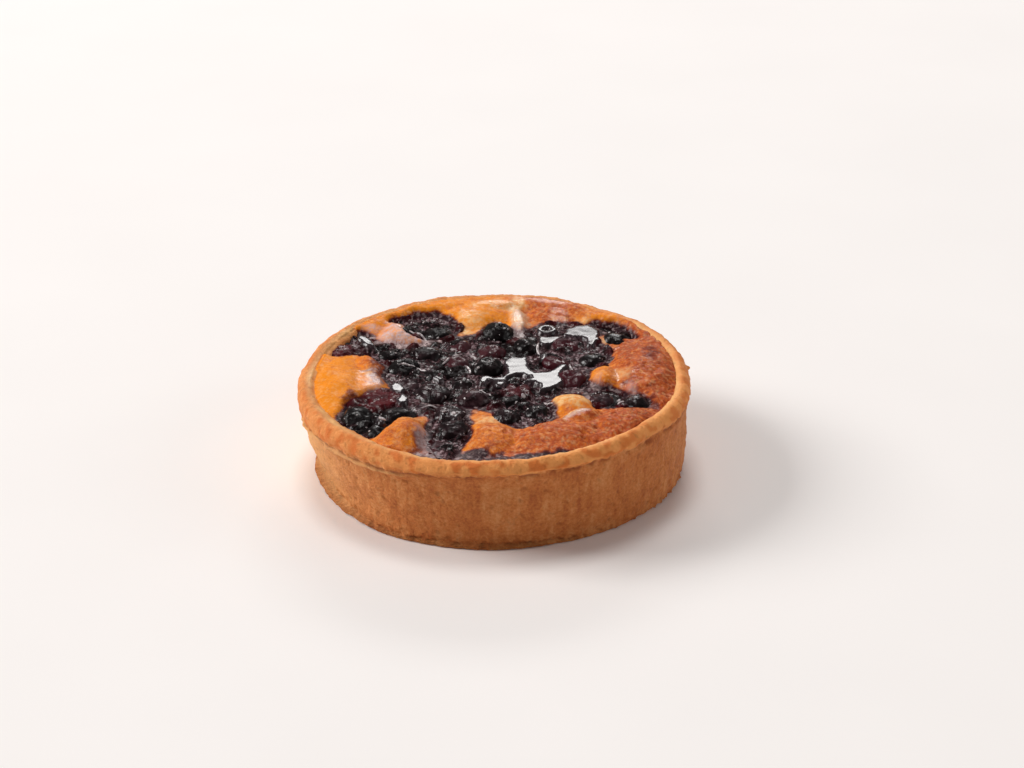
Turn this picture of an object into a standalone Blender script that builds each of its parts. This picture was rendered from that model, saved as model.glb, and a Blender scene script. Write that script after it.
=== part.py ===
"""Blueberry almond tartlet: a straight-sided shortcrust cup with a rolled lip, filled to the rim
with almond sponge that has puffed up round sunken blueberries and their jam."""

import math
import random

import bmesh
import bpy
from mathutils import Matrix, Vector, noise

# Sizes are in millimetres, and MM makes them metres where they become geometry
MM = 0.001
GAP = 0.35

# Shortcrust cup
RIM_RADIUS = 49.9
RIM_HEIGHT = 24.6
INNER_EDGE_RADIUS = 45.3
INNER_EDGE_HEIGHT = 23.6
INNER_EDGE_FLARE = 0.7
LIP_FACE_HEIGHT = 21.6
LIP_FOOT_HEIGHT = 20.3
WALL_TOP_RADIUS = 48.0
WALL_TOP_HEIGHT = 19.4
BASE_RADIUS = 46.3
BASE_ROUNDING = 1.1
WALL_THICKNESS = 4.3
FLOOR_THICKNESS = 3.6
FLOOR_FILLET = 3.0
CUP_STEPS = 84

# How the cup sits unevenly: its base lies a little to the right and its rim climbs that way
BASE_SHIFT = 0.9
RIM_TILT = 0.017
LIP_WOBBLE = 0.9
CREST_WOBBLE = 1.0
WALL_WOBBLE = 0.8
FOOT_BULGE = 1.0
FOOT_BULGE_ANGLE = math.radians(228)

# Almond sponge, level at the wall and shouldered down to the jam
SPONGE_EDGE_HEIGHT = 22.9
SPONGE_RINGS = 13
SHOULDER = 4.5

# Puffed humps of the sponge: middle x, middle y, half width, half depth, turn in degrees, rise
HUMPS = {
    "left": (-38.0, 2.0, 9.5, 19.0, 6, 2.6),
    "upper_left": (-28.0, 23.5, 8.0, 7.0, 30, 2.6),
    "back": (-5.0, 37.0, 14.0, 8.5, 0, 2.2),
    "back_right": (16.0, 36.0, 10.0, 8.0, -20, 1.7),
    "right": (38.0, 3.0, 10.5, 18.5, -4, 3.4),
    "right_inner": (28.0, -1.0, 6.0, 7.0, 0, 2.6),
    "front_island": (19.0, -15.0, 7.0, 6.5, 0, 2.7),
    "front_middle": (2.0, -31.0, 9.0, 8.5, 20, 2.2),
    "front_right": (16.0, -29.0, 14.0, 9.0, 10, 2.6),
    "right_front": (32.0, -25.0, 11.0, 9.0, 35, 2.2),
    "front_left": (-22.0, -31.0, 7.0, 10.5, 25, 2.4),
}

# Jam pools: middle x, middle y, half width, half depth, turn in degrees, berries in it
JAM_LEVEL = 21.8
JAM_BOTTOM = 14.2
JAM_SIDES = 22
POOL_TAPER = 0.94
POOLS = {
    "middle": (-2.5, 3.5, 25.5, 21.5, 0, 16),
    "back_left": (-18.5, 28.3, 9.6, 7.0, 6, 2),
    "back_middle": (1.5, 25.0, 5.8, 6.4, 0, 1),
    "back_right": (18.5, 22.0, 11.5, 9.5, -10, 3),
    "rim_right": (31.0, 24.0, 8.0, 5.5, -45, 1),
    "right_single": (23.5, 9.0, 7.2, 6.6, 0, 1),
    "right_middle": (15.0, -1.0, 9.5, 9.5, 0, 3),
    "left_link": (-27.0, 15.0, 7.0, 5.8, 0, 1),
    "rim_left": (-37.0, 18.5, 8.4, 5.8, 40, 1),
    "left_lobe": (-28.5, -20.5, 10.8, 14.2, -14, 4),
    "front_lobe": (-11.5, -30.0, 6.6, 16.5, -8, 3),
    "front_middle": (7.0, -19.5, 9.0, 9.5, 10, 2),
}
RIGHT_POOL = (31.0, -14.5, 9.6, 6.4, -18, 2)

# Blueberries, squashed a little along the axis of the crown
BERRY_RADIUS = 4.7
BERRY_SPREAD = 0.45
BERRY_SQUASH = 0.86
BERRY_HEIGHT = 21.5
BERRY_BOB = 0.8
BERRY_LEAN = math.radians(60)
BERRY_SIDES = 10
BERRY_ROOM = 43.3
CROWN_RADIUS = 0.3
CROWN_DEPTH = 0.14
BERRY_LATITUDES = (42, 2, -42)
CROWDING = 1.04
RELAX_ROUNDS = 500
GROW_ROUNDS = 60
GROW_STEP = 1.03
SEED = 14

# Colour, roughness
SHORTCRUST = ((0.56, 0.27, 0.10), 0.62)
SPONGE = ((0.62, 0.30, 0.09), 0.48)
JAM = ((0.030, 0.006, 0.012), 0.16)
BERRY_SKIN = ((0.018, 0.010, 0.024), 0.30)


def smooth(share):
    """Ease from 0 to 1 as share goes from 0 to 1."""
    share = min(max(share, 0.0), 1.0)
    return share * share * (3 - 2 * share)


def swell(angle, lobes, layer):
    """Slow unevenness round the cup, about -0.5 to 0.5."""
    return noise.noise(Vector((math.cos(angle) * lobes, math.sin(angle) * lobes, layer)))


def arc(middle, reach, start, end, count):
    """Points of a quarter-round between two angles in degrees, as (radius, height)."""
    points = []
    for step in range(count):
        turn = math.radians(start + (end - start) * step / (count - 1))
        points.append((middle[0] + reach[0] * math.cos(turn), middle[1] + reach[1] * math.sin(turn)))
    return points


def inner_wall():
    """The cup's inner side from the rim's inner edge down to the floor, as (radius, height)."""
    foot = BASE_RADIUS - WALL_THICKNESS
    middle = (foot - FLOOR_FILLET, FLOOR_THICKNESS + FLOOR_FILLET)
    edge = (INNER_EDGE_RADIUS, INNER_EDGE_HEIGHT)
    below = (INNER_EDGE_RADIUS - INNER_EDGE_FLARE, WALL_TOP_HEIGHT)
    return [edge, below] + arc(middle, (FLOOR_FILLET, FLOOR_FILLET), 0, -90, 3)


def wall_radius_at(height):
    """Radius of the inner wall where the sponge meets it."""
    (edge, edge_height), (top, top_height) = inner_wall()[:2]
    share = (height - top_height) / (edge_height - top_height)
    return top + (edge - top) * share


def cup_profile():
    """Half section of the cup, up its inside, over the lip and down its outside."""
    inside = list(reversed(inner_wall()))
    crest = ((RIM_RADIUS + INNER_EDGE_RADIUS) / 2, LIP_FACE_HEIGHT)
    reach = ((RIM_RADIUS - INNER_EDGE_RADIUS) / 2, RIM_HEIGHT - LIP_FACE_HEIGHT)
    lip = arc(crest, reach, 115, 0, 5)
    under = [((RIM_RADIUS + WALL_TOP_RADIUS) / 2 + 0.4, LIP_FOOT_HEIGHT), (WALL_TOP_RADIUS, WALL_TOP_HEIGHT)]
    foot = arc((BASE_RADIUS - BASE_ROUNDING, BASE_ROUNDING), (BASE_ROUNDING, BASE_ROUNDING), 0, -90, 3)
    middle = ((WALL_TOP_RADIUS + BASE_RADIUS) / 2, (WALL_TOP_HEIGHT + BASE_ROUNDING) / 2)
    return [(0.0, FLOOR_THICKNESS)] + inside + lip + under + [middle] + foot + [(0.0, 0.0)]


def sponge_profile():
    """Half section of the sponge with a flat top, from the middle out and down to the floor."""
    edge = wall_radius_at(SPONGE_EDGE_HEIGHT) - GAP
    top = [(edge * ring / SPONGE_RINGS, SPONGE_EDGE_HEIGHT) for ring in range(SPONGE_RINGS + 1)]
    side = [(radius - GAP, height + GAP) for radius, height in inner_wall()[1:]]
    return top + side + [(0.0, FLOOR_THICKNESS + GAP)]


def inner_edge_shift(angle):
    """How far the rim's inner edge lies outside its mean radius: thin at the back, thick on the left."""
    return 1.0 * math.cos(angle) + 0.6 * math.sin(angle) - 0.3 * math.cos(2 * angle)


def baked(radius, angle, height):
    """Where a point of the true round cup, or of what fills it, lies on the uneven baked one."""
    lift = height / RIM_HEIGHT
    outer = smooth((radius - INNER_EDGE_RADIUS) / (WALL_TOP_RADIUS - INNER_EDGE_RADIUS) + 0.5)
    lip = smooth((height - WALL_TOP_HEIGHT) / (LIP_FOOT_HEIGHT - WALL_TOP_HEIGHT))
    foot = smooth(1 - height / (5 * BASE_ROUNDING)) * smooth(height / BASE_ROUNDING + 0.4)
    bulge = max(math.cos(angle - FOOT_BULGE_ANGLE), 0.0) ** 12
    side = WALL_WOBBLE * swell(angle, 1.3, 7 + lift) + lip * LIP_WOBBLE * swell(angle, 2.4, 3)
    side += foot * (FOOT_BULGE * bulge + 0.5 * swell(angle, 4.0, 11))
    inside = inner_edge_shift(angle) * lift + WALL_WOBBLE * swell(angle, 1.3, 7 + lift)
    reach = min(radius / INNER_EDGE_RADIUS, 1.0)
    radius += reach * (outer * side + (1 - outer) * inside)
    x = radius * math.cos(angle) + BASE_SHIFT * (1 - lift)
    y = radius * math.sin(angle)
    height += lift * RIM_TILT * x + lift**4 * reach * CREST_WOBBLE * swell(angle, 2.0, 5)
    return Vector((x, y, height))


def across_and_along(x, y, place):
    """A point in an ellipse's own turned frame."""
    turn = math.radians(place[4])
    across = (x - place[0]) * math.cos(turn) + (y - place[1]) * math.sin(turn)
    along = (y - place[1]) * math.cos(turn) - (x - place[0]) * math.sin(turn)
    return across, along


def ellipse_share(x, y, place):
    """Distance from an ellipse's middle, 1 on its edge."""
    across, along = across_and_along(x, y, place)
    return math.hypot(across / place[2], along / place[3])


def ellipse_distance(x, y, place):
    """Distance outside an ellipse, below zero inside it."""
    across, along = across_and_along(x, y, place)
    share = math.hypot(across / place[2], along / place[3])
    steepness = math.hypot(across / place[2] ** 2, along / place[3] ** 2)
    return max(share * (share - 1) / max(steepness, MM), -min(place[2], place[3]))


def pool_distance(x, y):
    """Distance outside the nearest jam pool, below zero inside one."""
    return min(ellipse_distance(x, y, pool) for pool in [*POOLS.values(), RIGHT_POOL])


def sponge_height(x, y):
    """Top of the sponge: its humps, shouldered down to the jam beside the pools."""
    rise = 0.0
    for hump in HUMPS.values():
        share = min(ellipse_share(x, y, hump), 1.0)
        rise = max(rise, hump[5] * (1 - share * share) ** 1.5)
    rough = 0.5 * noise.noise(Vector((x, y, 0)) / 5)
    puffed = SPONGE_EDGE_HEIGHT + rise + rough
    return JAM_LEVEL + (puffed - JAM_LEVEL) * smooth(0.25 + pool_distance(x, y) / SHOULDER)


def new_collection(name):
    collection = bpy.data.collections.new(name)
    bpy.context.scene.collection.children.link(collection)
    return collection


def new_object(name, mesh, collection, parent):
    piece = bpy.data.objects.new(name, mesh)
    collection.objects.link(piece)
    piece.parent = parent
    return piece


def as_cutter(piece):
    piece.hide_render = True
    piece.display_type = "WIRE"
    return piece


def turned_mesh(name, profile, steps):
    """A mesh turned from a half section, with its ends on the axis."""
    line = bpy.data.meshes.new(name)
    points = [(radius * MM, 0, height * MM) for radius, height in profile]
    line.from_pydata(points, [(i, i + 1) for i in range(len(points) - 1)], [])
    blank = bpy.data.objects.new(name, line)
    bpy.context.scene.collection.objects.link(blank)
    screw = blank.modifiers.new("Turn", "SCREW")
    screw.steps = steps
    screw.render_steps = steps
    screw.use_merge_vertices = True
    screw.merge_threshold = 0.00001
    bpy.context.view_layer.update()
    turned = bpy.data.meshes.new_from_object(blank.evaluated_get(bpy.context.evaluated_depsgraph_get()))
    bpy.data.objects.remove(blank)
    bpy.data.meshes.remove(line)
    turned.name = name
    turned.shade_smooth()
    return turned


def bake(mesh, top=None):
    """Move a turned mesh's points to the uneven cup, and a flat top to the height that top gives."""
    for vertex in mesh.vertices:
        x, y, height = vertex.co / MM
        place = baked(math.hypot(x, y), math.atan2(y, x), height)
        if top and height > SPONGE_EDGE_HEIGHT - GAP / 2:
            place.z += top(place.x, place.y) - SPONGE_EDGE_HEIGHT
        vertex.co = place * MM


def principled(name, colour, roughness):
    material = bpy.data.materials.new(name)
    material.use_nodes = True
    surface = material.node_tree.nodes["Principled BSDF"]
    surface.inputs["Base Color"].default_value = (*colour, 1)
    surface.inputs["Roughness"].default_value = roughness
    surface.inputs["Metallic"].default_value = 0
    return material


def add_boolean(piece, operation, cutters):
    """Cut or join one piece with every mesh of a collection, or with one object."""
    boolean = piece.modifiers.new(operation.title(), "BOOLEAN")
    boolean.operation = operation
    boolean.solver = "EXACT"
    if isinstance(cutters, bpy.types.Collection):
        boolean.operand_type = "COLLECTION"
        boolean.collection = cutters
    else:
        boolean.object = cutters


def pool_mesh(name, pool, grown):
    """One jam pool, an elliptical plug that narrows downwards, optionally grown by the gap."""
    middle_x, middle_y, half_width, half_depth, turn = pool[:5]
    bottom = JAM_BOTTOM - grown
    top = RIM_HEIGHT * 1.5 if grown else JAM_LEVEL
    slope = (1 - POOL_TAPER) * (top - bottom) / (JAM_LEVEL - JAM_BOTTOM)
    shape = bmesh.new()
    bmesh.ops.create_cone(shape, cap_ends=True, segments=JAM_SIDES, radius1=POOL_TAPER,
                          radius2=POOL_TAPER + slope, depth=1)
    size = (half_width + grown, half_depth + grown, top - bottom, 1)
    place = Matrix.Translation((middle_x, middle_y, (top + bottom) / 2))
    place = place @ Matrix.Rotation(math.radians(turn), 4, "Z") @ Matrix.Diagonal(size)
    shape.transform(Matrix.Scale(MM, 4) @ place)
    mesh = bpy.data.meshes.new(name)
    shape.to_mesh(mesh)
    shape.free()
    return mesh


def berry_profile():
    """Half section of a berry of radius 1 with a dished crown, from its crown down."""
    points = [(0.0, BERRY_SQUASH - CROWN_DEPTH), (CROWN_RADIUS, BERRY_SQUASH)]
    for latitude in BERRY_LATITUDES:
        turn = math.radians(latitude)
        points.append((math.cos(turn), BERRY_SQUASH * math.sin(turn)))
    return [(radius / MM, height / MM) for radius, height in points + [(0.0, -BERRY_SQUASH)]]


def scatter_berries():
    """Berries as [x, y, radius], thrown into the pools and pushed apart."""
    draw = random.Random(SEED)
    berries = []
    for pool in [*POOLS.values(), RIGHT_POOL]:
        for _ in range(pool[5]):
            x = pool[0] + draw.uniform(-0.6, 0.6) * pool[2]
            y = pool[1] + draw.uniform(-0.6, 0.6) * pool[3]
            berries.append([x, y, BERRY_RADIUS + draw.uniform(-BERRY_SPREAD, BERRY_SPREAD)])
    for turn in range(RELAX_ROUNDS):
        for i, berry in enumerate(berries):
            for other in berries[:i]:
                push_apart(berry, other, 1 - turn / RELAX_ROUNDS)
        for berry in berries:
            pull_in(berry)
    return berries


def push_apart(berry, other, strength):
    away_x = berry[0] - other[0]
    away_y = berry[1] - other[1]
    distance = math.hypot(away_x, away_y)
    short = CROWDING * (berry[2] + other[2]) + GAP - distance
    if short > 0:
        share = strength * short / 2 / max(distance, GAP)
        berry[0] += away_x * share
        berry[1] += away_y * share
        other[0] -= away_x * share
        other[1] -= away_y * share


def pull_in(berry):
    """Bring a berry back inside the pools, and clear of the cup's wall."""
    x, y, radius = berry
    outside = pool_distance(x, y) + radius + GAP
    if outside > 0:
        slope_x = pool_distance(x + GAP, y) - pool_distance(x - GAP, y)
        slope_y = pool_distance(x, y + GAP) - pool_distance(x, y - GAP)
        steepness = max(math.hypot(slope_x, slope_y), MM)
        berry[0] -= outside * slope_x / steepness
        berry[1] -= outside * slope_y / steepness
    reach = math.hypot(berry[0], berry[1]) / (BERRY_ROOM - radius)
    if reach > 1:
        berry[0] /= reach
        berry[1] /= reach


def grow_berries(berries):
    """Radii grown evenly until a berry meets its own size, a neighbour, the pool's edge or the cup."""
    radii = [BERRY_RADIUS / 2] * len(berries)
    for _ in range(GROW_ROUNDS):
        for i, (x, y, radius) in enumerate(berries):
            limit = min(radius, -pool_distance(x, y) - GAP, BERRY_ROOM - math.hypot(x, y))
            for j, other in enumerate(berries):
                if i != j:
                    limit = min(limit, math.hypot(x - other[0], y - other[1]) - GAP - radii[j])
            radii[i] = min(limit, radii[i] * GROW_STEP)
    return radii


def place_berry(piece, x, y, height, radius, lean, heading, grown):
    piece.location = Vector((x, y, height)) * MM
    piece.rotation_euler = (lean, 0, heading)
    piece.scale = [(radius + grown) * MM] * 3


def build():
    for old in list(bpy.data.objects):
        bpy.data.objects.remove(old, do_unlink=True)
    tartlet = new_collection("blueberry_almond_tartlet")
    cutters = new_collection("cutters")
    pools = new_collection("joined_pools")
    sockets = new_collection("berry_sockets")
    basins = new_collection("pool_basins")

    cup_mesh = turned_mesh("pastry_shell", cup_profile(), CUP_STEPS)
    bake(cup_mesh)
    middle = Vector((0, 0, 0))
    for axis in (0, 1):
        reach = [vertex.co[axis] for vertex in cup_mesh.vertices]
        middle[axis] = (min(reach) + max(reach)) / 2
    stand = bpy.data.objects.new("middle_of_base", None)
    tartlet.objects.link(stand)
    stand.location = -middle
    cup = new_object("pastry_shell", cup_mesh, tartlet, stand)
    cup.data.materials.append(principled("shortcrust", *SHORTCRUST))

    sponge_mesh = turned_mesh("almond_filling", sponge_profile(), CUP_STEPS)
    room_mesh = sponge_mesh.copy()
    bake(sponge_mesh, sponge_height)
    bake(room_mesh, lambda x, y: RIM_HEIGHT)
    sponge = new_object("almond_filling", sponge_mesh, tartlet, stand)
    sponge.data.materials.append(principled("almond_sponge", *SPONGE))
    room = as_cutter(new_object("room_in_the_cup", room_mesh, cutters, stand))

    red_jam = principled("blueberry_jam", *JAM)
    jam = new_object("berry_jam", pool_mesh("berry_jam", POOLS["middle"], 0), tartlet, stand)
    jam.data.materials.append(red_jam)
    right_jam = new_object("berry_jam_right", pool_mesh("berry_jam_right", RIGHT_POOL, 0), tartlet, stand)
    right_jam.data.materials.append(red_jam)
    for name, pool in POOLS.items():
        if name != "middle":
            as_cutter(new_object("pool_" + name, pool_mesh("pool_" + name, pool, 0), pools, stand))
        as_cutter(new_object("basin_" + name, pool_mesh("basin_" + name, pool, GAP), basins, stand))
    as_cutter(new_object("basin_right", pool_mesh("basin_right", RIGHT_POOL, GAP), basins, stand))

    berries = scatter_berries()
    radii = grow_berries(berries)
    draw = random.Random(SEED + 1)
    skin = principled("blueberry_skin", *BERRY_SKIN)
    berry_mesh = turned_mesh("blueberry", berry_profile(), BERRY_SIDES)
    berry_mesh.materials.append(skin)
    socket_mesh = berry_mesh.copy()
    for number, (x, y, _) in enumerate(berries, start=1):
        radius = radii[number - 1]
        height = BERRY_HEIGHT + draw.uniform(-BERRY_BOB, BERRY_BOB) + RIM_TILT * x
        pose = (x, y, height, radius, draw.uniform(0, BERRY_LEAN), draw.uniform(0, math.tau))
        piece = new_object(f"blueberry_{number:02d}", berry_mesh, tartlet, stand)
        place_berry(piece, *pose, 0)
        socket = as_cutter(new_object(f"socket_{number:02d}", socket_mesh, sockets, stand))
        place_berry(socket, *pose, GAP)

    add_boolean(jam, "UNION", pools)
    add_boolean(jam, "INTERSECT", room)
    add_boolean(jam, "DIFFERENCE", sockets)
    add_boolean(right_jam, "DIFFERENCE", sockets)
    add_boolean(sponge, "DIFFERENCE", basins)
    add_boolean(sponge, "DIFFERENCE", sockets)


build()
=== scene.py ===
import math
import random

import bmesh
import bpy
import numpy as np
from mathutils import Euler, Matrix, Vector, noise
from mathutils.bvhtree import BVHTree


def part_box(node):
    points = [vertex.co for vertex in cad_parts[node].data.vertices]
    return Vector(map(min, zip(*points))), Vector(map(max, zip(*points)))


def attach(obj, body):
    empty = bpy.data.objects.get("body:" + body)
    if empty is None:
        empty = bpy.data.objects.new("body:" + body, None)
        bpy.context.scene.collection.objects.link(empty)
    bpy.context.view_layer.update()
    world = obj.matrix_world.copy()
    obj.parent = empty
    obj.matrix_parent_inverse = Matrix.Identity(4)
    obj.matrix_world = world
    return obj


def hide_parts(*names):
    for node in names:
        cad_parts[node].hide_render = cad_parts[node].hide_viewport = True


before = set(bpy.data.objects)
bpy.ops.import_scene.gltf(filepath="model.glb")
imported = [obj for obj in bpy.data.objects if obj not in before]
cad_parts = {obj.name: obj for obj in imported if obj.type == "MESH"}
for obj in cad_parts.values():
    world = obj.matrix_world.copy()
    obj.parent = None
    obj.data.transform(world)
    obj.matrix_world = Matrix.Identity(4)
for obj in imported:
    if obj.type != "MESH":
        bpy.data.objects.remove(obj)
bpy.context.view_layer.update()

mm = 0.001
print("frame loaded:", len(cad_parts), "nodes")


def smooth(share):
    share = np.clip(share, 0, 1)
    return share * share * (3 - 2 * share)


def band(values, centre, reach):
    # 1 at the centre, fading out over the reach on both sides
    return np.exp(-((values - centre) / reach) ** 2)


def noiseAt(points, size, layer, octaves=1):
    # cloudy noise, about -0.6 to 0.6, whose lumps are size millimetres across
    shift = Vector((layer, layer * 0.7, -layer))
    return np.array([noise.fractal(Vector(p) / size + shift, 1.0, 2.0, octaves) for p in points])


def lumps(points, kind):
    # kind: size and height in millimetres, layer of noise, octaves
    size, height, layer, octaves = kind
    return height * noiseAt(points, size, layer, octaves)


def spots(points, kind):
    # kind: size in millimetres, noise at which a spot starts, span until it is whole, layer, octaves
    size, start, span, layer, octaves = kind
    return smooth((noiseAt(points, size, layer, octaves) - start) / span)


def wrinkled(points, size, layer):
    # collapsed wet skin: 0 along its folds, 1 in the sunken fields between them
    waviness, foldWidth = 0.45, 0.75
    bend = np.stack([noiseAt(points, size, layer + step) for step in (3, 6, 9)], 1)
    shift = Vector((layer, -layer, layer * 0.5))
    near = [noise.voronoi(Vector(p) / size + shift)[0] for p in points + waviness * size * bend]
    return smooth(np.array([distances[1] - distances[0] for distances in near]) / foldWidth)


def puckers(points, kind):
    # kind: size and depth in millimetres, layer of noise
    size, depth, layer = kind
    return depth * wrinkled(points, size, layer)


# the cup, with the model's own sizes, in millimetres
cup = {
    "rimRadius": 49.9, "rimHeight": 24.6,
    "innerEdgeRadius": 45.3, "innerEdgeHeight": 23.6, "innerEdgeFlare": 0.7,
    "innerEdgeShift": (1.4, 0.6, -0.3),     # to the right, to the back, and in two lobes
    "lipFaceHeight": 21.6, "lipFootHeight": 20.3, "lipFootOut": 0.4,
    "wallTopRadius": 48, "wallTopHeight": 19.4,
    "baseRadius": 46.3, "baseRounding": 1.1,
    "wallThickness": 4.3, "floorThickness": 3.6, "floorFillet": 3,
    "baseShift": 0.9, "rimTilt": 0.017,
    # how far each wave swells, its lobes and its layer of noise
    "lipWobble": (0.9, 2.4, 3), "crestWobble": (1, 2, 5),
    "wallWobble": (0.8, 1.3, 7), "footWobble": (0.5, 4, 11),
    "footBulge": 1, "footBulgeAngle": math.radians(228), "footBulgePower": 12, "footTop": 5.5,
    "modelSteps": 84,       # sides of the model, whose middle is the origin
    "sides": 640, "profileStep": 0.4, "hiddenStep": 4, "hiddenInset": 8,
}


def swell(angle, wobble, shift=0):
    amount, lobes, layer = wobble
    return amount * noise.noise(Vector((math.cos(angle) * lobes, math.sin(angle) * lobes, layer + shift)))


def arc(centre, reach, start, end, count):
    turns = np.radians(np.linspace(start, end, count))
    return [(centre[0] + reach[0] * math.cos(t), centre[1] + reach[1] * math.sin(t)) for t in turns]


def innerWall():
    foot = cup["baseRadius"] - cup["wallThickness"]
    fillet = cup["floorFillet"]
    edge = (cup["innerEdgeRadius"], cup["innerEdgeHeight"])
    below = (cup["innerEdgeRadius"] - cup["innerEdgeFlare"], cup["wallTopHeight"])
    return [edge, below] + arc((foot - fillet, cup["floorThickness"] + fillet), (fillet, fillet), 0, -90, 3)


def cupProfile():
    # half section from the floor's middle, up the inside, over the lip and down the outside
    rim, edge, face = cup["rimRadius"], cup["innerEdgeRadius"], cup["lipFaceHeight"]
    wall, rounding = cup["wallTopRadius"], cup["baseRounding"]
    lip = arc(((rim + edge) / 2, face), ((rim - edge) / 2, cup["rimHeight"] - face), 115, 0, 5)
    under = [((rim + wall) / 2 + cup["lipFootOut"], cup["lipFootHeight"]), (wall, cup["wallTopHeight"])]
    halfway = ((wall + cup["baseRadius"]) / 2, (cup["wallTopHeight"] + rounding) / 2)
    foot = arc((cup["baseRadius"] - rounding, rounding), (rounding, rounding), 0, -90, 3)
    inside = list(reversed(innerWall()))
    return [(0, cup["floorThickness"])] + inside + lip + under + [halfway] + foot + [(0, 0)]


def roundedLine(points, stepOf):
    # a smooth line through the points; stepOf gives the wanted step for each stretch
    points = [np.array(p, float) for p in points]
    ways = [(b - a) / np.linalg.norm(b - a) for a, b in zip(points, points[1:])]
    ways = [ways[0]] + ways + [ways[-1]]
    bends = [(a + b) / 2 for a, b in zip(ways, ways[1:])]
    line = []
    for a, b, leave, arrive in zip(points, points[1:], bends, bends[1:]):
        length = np.linalg.norm(b - a)
        count = max(round(length / stepOf(a, b)), 1)
        for t in np.arange(count) / count:
            line.append((2 * t**3 - 3 * t**2 + 1) * a + (3 * t**2 - 2 * t**3) * b
                        + length * ((t**3 - 2 * t**2 + t) * leave + (t**3 - t**2) * arrive))
    return line + [points[-1]]


def baked(radius, angle, height):
    # where a point of the true round cup lies on the uneven baked one
    lift = height / cup["rimHeight"]
    top, edge, rounding = cup["wallTopHeight"], cup["innerEdgeRadius"], cup["baseRounding"]
    outer = float(smooth((radius - edge) / (cup["wallTopRadius"] - edge) + 0.5))
    lip = float(smooth((height - top) / (cup["lipFootHeight"] - top)))
    foot = float(smooth(1 - height / cup["footTop"]) * smooth(height / rounding + 0.4))
    bulge = cup["footBulge"] * max(math.cos(angle - cup["footBulgeAngle"]), 0) ** cup["footBulgePower"]
    wave = swell(angle, cup["wallWobble"], lift)
    side = wave + lip * swell(angle, cup["lipWobble"]) + foot * (bulge + swell(angle, cup["footWobble"]))
    right, back, lobed = cup["innerEdgeShift"]
    inside = lift * (right * math.cos(angle) + back * math.sin(angle) + lobed * math.cos(2 * angle)) + wave
    reach = min(radius / edge, 1)
    radius += reach * (outer * side + (1 - outer) * inside)
    x = radius * math.cos(angle) + cup["baseShift"] * (1 - lift)
    y = radius * math.sin(angle)
    crest = lift**4 * reach * swell(angle, cup["crestWobble"])
    return x, y, height + lift * cup["rimTilt"] * x + crest


def modelMiddle():
    # the model is moved so that the middle of its box is the origin
    ring = []
    for side in range(cup["modelSteps"]):
        angle = math.tau * side / cup["modelSteps"]
        ring += [baked(radius, angle, height)[:2] for radius, height in cupProfile()]
    ring = np.array(ring)
    return (ring.min(0) + ring.max(0)) / 2


middle = modelMiddle()


def newMesh(name, points, faces, material, marks=None):
    # points come in millimetres; marks are one number a point, for the material
    mesh = bpy.data.meshes.new(name)
    place = np.array(points, float) - np.array((*middle, 0))
    mesh.from_pydata((place * mm).tolist(), [], faces)
    mesh.shade_smooth()
    for mark, values in (marks or {}).items():
        layer = mesh.attributes.new(mark, "FLOAT", "POINT")
        layer.data.foreach_set("value", np.clip(values, 0, 1).astype(np.float32))
    mesh.materials.append(material)
    piece = bpy.data.objects.new(name, mesh)
    bpy.context.scene.collection.objects.link(piece)
    return piece


def gridFaces(rows, columns):
    # quads of a grid that closes on itself along its columns
    faces = []
    for row in range(rows - 1):
        for column in range(columns):
            after = (column + 1) % columns
            low, high = row * columns, (row + 1) * columns
            faces.append((low + column, high + column, high + after, low + after))
    return faces


def gridNormals(grid):
    around = np.roll(grid, -1, axis=1) - np.roll(grid, 1, axis=1)
    normals = np.cross(np.gradient(grid, axis=0), around)
    return normals / np.maximum(np.linalg.norm(normals, axis=2, keepdims=True), 1e-9)


def hexColour(text):
    # sRGB hex to linear
    parts = [int(text[i:i + 2], 16) / 255 for i in (1, 3, 5)]
    return (*(c / 12.92 if c < 0.04045 else ((c + 0.055) / 1.055) ** 2.4 for c in parts), 1)


def addNode(tree, kind, links, **settings):
    # links take a socket or a plain value; settings are the node's own, stops those of a ramp
    node = tree.nodes.new("ShaderNode" + kind)
    for name, value in settings.items():
        if name == "stops":
            line = node.color_ramp.elements
            for i, (place, tint) in enumerate(value):
                element = line[i] if i < len(line) else line.new(place)
                element.position = place
                element.color = hexColour(tint)
        else:
            setattr(node, name, value)
    for name, value in links.items():
        if isinstance(value, bpy.types.NodeSocket):
            tree.links.new(value, node.inputs[name])
        else:
            node.inputs[name].default_value = value
    return node.outputs


# a look's patterns: width and height in millimetres, detail and roughness of each; its tone: how much
# each pattern or mark counts; its tints: colours over the base; its finish: the shader's plain values
def startMaterial(name, look, marks=()):
    # fields are the patterns and the marks, and their tone picks the base colour
    material = bpy.data.materials.new(name)
    material.use_nodes = True
    tree = material.node_tree
    tree.nodes.clear()
    spot = addNode(tree, "TexCoord", {})["Object"]
    fields = {mark: addNode(tree, "Attribute", {}, attribute_name=mark)["Fac"] for mark in marks}
    for pattern, (width, height, detail, rough) in look["patterns"].items():
        perMetre = [1 / (size * mm) for size in (width, width, height)]
        place = addNode(tree, "VectorMath", {0: spot, 1: perMetre}, operation="MULTIPLY")[0]
        links = {"Vector": place, "Scale": 1, "Detail": detail, "Roughness": rough}
        fields[pattern] = addNode(tree, "TexNoise", links)["Fac"]
    tone = look["toneStart"]
    for field, weight in look["tone"].items():
        tone = addNode(tree, "Math", {0: fields[field], 1: weight, 2: tone}, operation="MULTIPLY_ADD")[0]
    fields["base"] = addNode(tree, "ValToRGB", {"Fac": tone}, stops=look["stops"])[0]
    return material, tree, fields


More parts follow.
